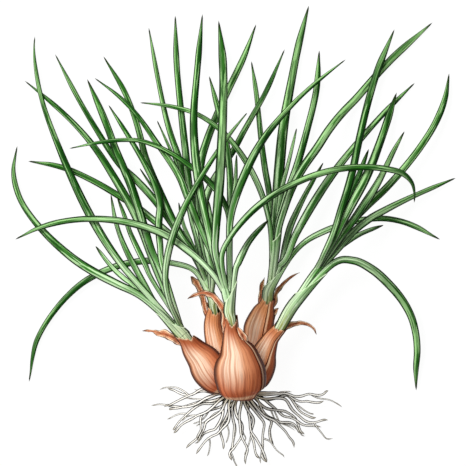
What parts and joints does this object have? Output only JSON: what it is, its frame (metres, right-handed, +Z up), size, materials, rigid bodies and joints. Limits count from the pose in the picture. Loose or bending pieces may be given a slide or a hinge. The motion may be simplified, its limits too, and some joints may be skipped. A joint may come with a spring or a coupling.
{
  "type": "shallot",
  "caption": "Clump of copper-skinned shallots laid down whole, with papery twisted tails, long tapering green leaves in five shoots and a fan of cream roots.",
  "frame": {"origin": "on the surface the plant lies on, below the middle of its box", "axes": "+Z up from the surface, +Y from the roots towards the leaf tips, +X to the right when the bulbs are nearest"},
  "size_m": [0.3111, 0.3207, 0.0625],
  "materials": {
    "dry_skin": "satin papery skin, copper brown with fine veins along it",
    "leaf_base": "smooth pale green sheath",
    "leaf": "waxy green blade with fine veins along it",
    "root": "matt cream root"
  },
  "bodies": {
    "root": {"bulb_back_left": "dry_skin", "bulb_back_right": "dry_skin", "bulb_front": "dry_skin", "bulb_left": "dry_skin", "bulb_right": "dry_skin", "leaf_back_left_1": "leaf", "leaf_back_left_10": "leaf", "leaf_back_left_11": "leaf", "leaf_back_left_2": "leaf", "leaf_back_left_3": "leaf", "leaf_back_left_4": "leaf", "leaf_back_left_5": "leaf", "leaf_back_left_6": "leaf", "leaf_back_left_7": "leaf", "leaf_back_left_8": "leaf", "leaf_back_left_9": "leaf", "leaf_back_right_1": "leaf", "leaf_back_right_2": "leaf", "leaf_back_right_3": "leaf", "leaf_back_right_4": "leaf", "leaf_back_right_5": "leaf", "leaf_back_right_6": "leaf", "leaf_back_right_7": "leaf", "leaf_back_right_8": "leaf", "leaf_back_right_9": "leaf", "leaf_front_1": "leaf", "leaf_front_10": "leaf", "leaf_front_11": "leaf", "leaf_front_2": "leaf", "leaf_front_3": "leaf", "leaf_front_4": "leaf", "leaf_front_5": "leaf", "leaf_front_6": "leaf", "leaf_front_7": "leaf", "leaf_front_8": "leaf", "leaf_front_9": "leaf", "leaf_left_1": "leaf", "leaf_left_2": "leaf", "leaf_left_3": "leaf", "leaf_left_4": "leaf", "leaf_left_5": "leaf", "leaf_left_6": "leaf", "leaf_left_7": "leaf", "leaf_left_8": "leaf", "leaf_left_9": "leaf", "leaf_right_1": "leaf", "leaf_right_2": "leaf", "leaf_right_3": "leaf", "leaf_right_4": "leaf", "leaf_right_5": "leaf", "leaf_right_6": "leaf", "leaf_right_7": "leaf", "leaf_right_8": "leaf", "neck_back_left": "leaf_base", "neck_back_right": "leaf_base", "neck_front": "leaf_base", "neck_left": "leaf_base", "neck_right": "leaf_base", "root_tuft": "root"}
  },
  "joints": []
}
